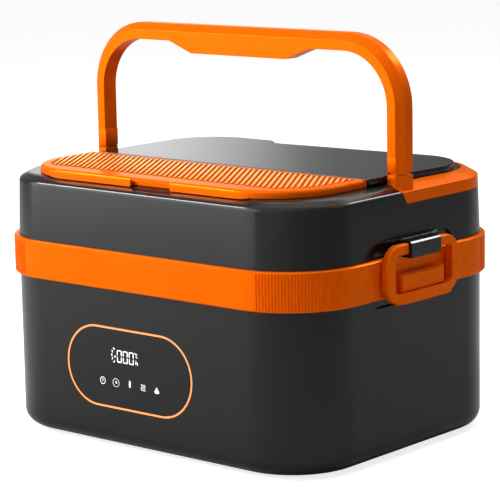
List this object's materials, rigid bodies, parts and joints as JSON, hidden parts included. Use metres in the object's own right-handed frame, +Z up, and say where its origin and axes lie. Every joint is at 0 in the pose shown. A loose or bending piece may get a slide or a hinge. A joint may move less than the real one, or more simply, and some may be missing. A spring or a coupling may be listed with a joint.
{
  "type": "electric lunch box",
  "caption": "Heated lunch box with a lift-off lid, ring latches, a folding carry handle, a ribbed cutlery cover and a touch display.",
  "frame": {"origin": "middle of the footprint, on the surface the feet rest on", "axes": "+X to the right seen from the front, +Y from the display's front wall to the back, +Z up"},
  "size_m": [0.2608, 0.196, 0.2352],
  "materials": {
    "shell": "satin charcoal plastic, fine grain",
    "orange": "satin-gloss orange plastic",
    "gloss_black": "gloss black plastic",
    "glow": "light guide, glowing orange",
    "inner_plastic": "plain dark plastic",
    "steel": "stainless steel, satin",
    "cast_alloy": "cast, dull",
    "board": "printed board with components",
    "ceramic": "pale ceramic look",
    "rubber": "matte",
    "silicone": "matte pale silicone",
    "clear_plastic": "frosted plastic"
  },
  "bodies": {
    "base": {"base_shell": "shell", "waist_band": "orange", "bottom_cover": "shell", "feet": "rubber", "bottom_screws": "steel", "display_ring": "glow", "display_panel": "gloss_black", "control_board": "board", "heating_well": "steel", "heating_plate": "cast_alloy", "heating_element": "steel", "thermostat": "ceramic", "power_board": "board", "power_inlet": "inner_plastic", "inlet_pins": "steel", "food_pot": "steel", "pot_lid": "clear_plastic", "pot_seal": "silicone", "pot_valve": "silicone"},
    "lid": {"lid_shell": "shell", "lid_liner": "inner_plastic", "lid_seal": "silicone", "lid_screws": "steel", "lid_plate": "gloss_black", "lid_frame": "orange", "cutlery_tray": "inner_plastic", "latch_clips": "gloss_black", "cover_pins": "steel", "handle_pins": "steel"},
    "right_latch": {"latch_ring_right": "orange", "latch_pin_right": "steel"},
    "left_latch": {"latch_ring_left": "orange", "latch_pin_left": "steel"},
    "cover": {"cutlery_cover": "orange"},
    "carry_handle": {"handle": "orange"}
  },
  "joints": [
    {"name": "lid_lift", "type": "slide", "parent": "base", "child": "lid", "axis": [0, 0, 1], "range_m": [0, 0.15]},
    {"name": "handle_fold", "type": "hinge", "parent": "lid", "child": "carry_handle", "pos_m": [0, -0.0013, 0.1638], "axis": [-1, 0, 0], "range_deg": [0, 90]},
    {"name": "cover_open", "type": "hinge", "parent": "lid", "child": "cover", "pos_m": [0, -0.0234, 0.1546], "axis": [-1, 0, 0], "range_deg": [0, 90]},
    {"name": "right_ring_swing", "type": "hinge", "parent": "lid", "child": "right_latch", "pos_m": [0.1261, 0, 0.12], "axis": [0, -1, 0], "range_deg": [0, 110]},
    {"name": "left_ring_swing", "type": "hinge", "parent": "lid", "child": "left_latch", "pos_m": [-0.1261, 0, 0.12], "axis": [0, 1, 0], "range_deg": [0, 110]}
  ]
}
